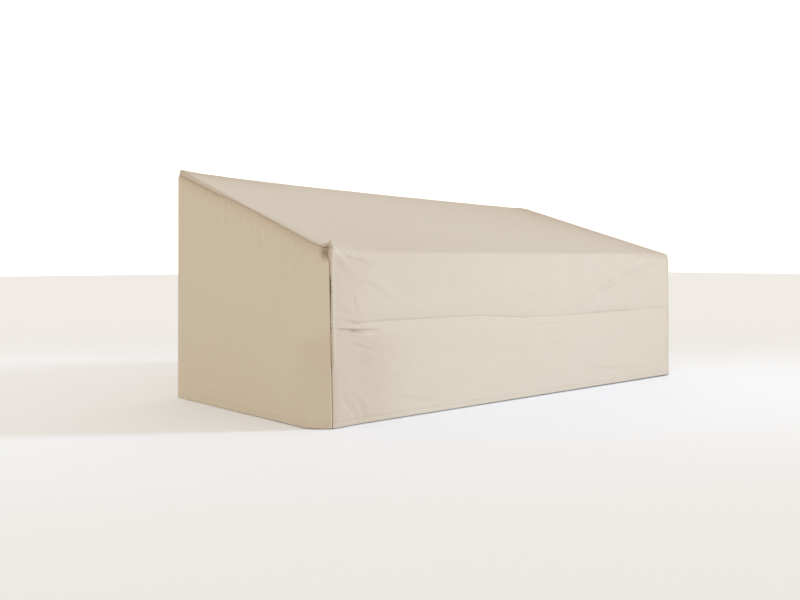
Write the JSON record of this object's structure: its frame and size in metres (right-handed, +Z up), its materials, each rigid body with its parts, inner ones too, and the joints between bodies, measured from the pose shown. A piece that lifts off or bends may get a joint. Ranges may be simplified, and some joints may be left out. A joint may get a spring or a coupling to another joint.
{
  "type": "outdoor sofa cover",
  "caption": "Fitted cloth cover for an outdoor sofa: a sloped top that falls over a low front, wrapped ends and a tall back, open underneath.",
  "frame": {"origin": "on the ground under the middle of the cover's box", "axes": "+X along the cover's width, to the right as seen from the front; -Y towards the low front; +Z up"},
  "size_m": [2.1874, 1.1332, 1.007],
  "materials": {
    "top_and_front_cloth": "matt woven polyester, beige",
    "end_cloth": "matt woven polyester, beige",
    "back_cloth": "matt woven polyester, beige"
  },
  "bodies": {
    "root": {"top_and_front": "top_and_front_cloth", "left_end": "end_cloth", "right_end": "end_cloth", "back": "back_cloth"}
  },
  "joints": []
}
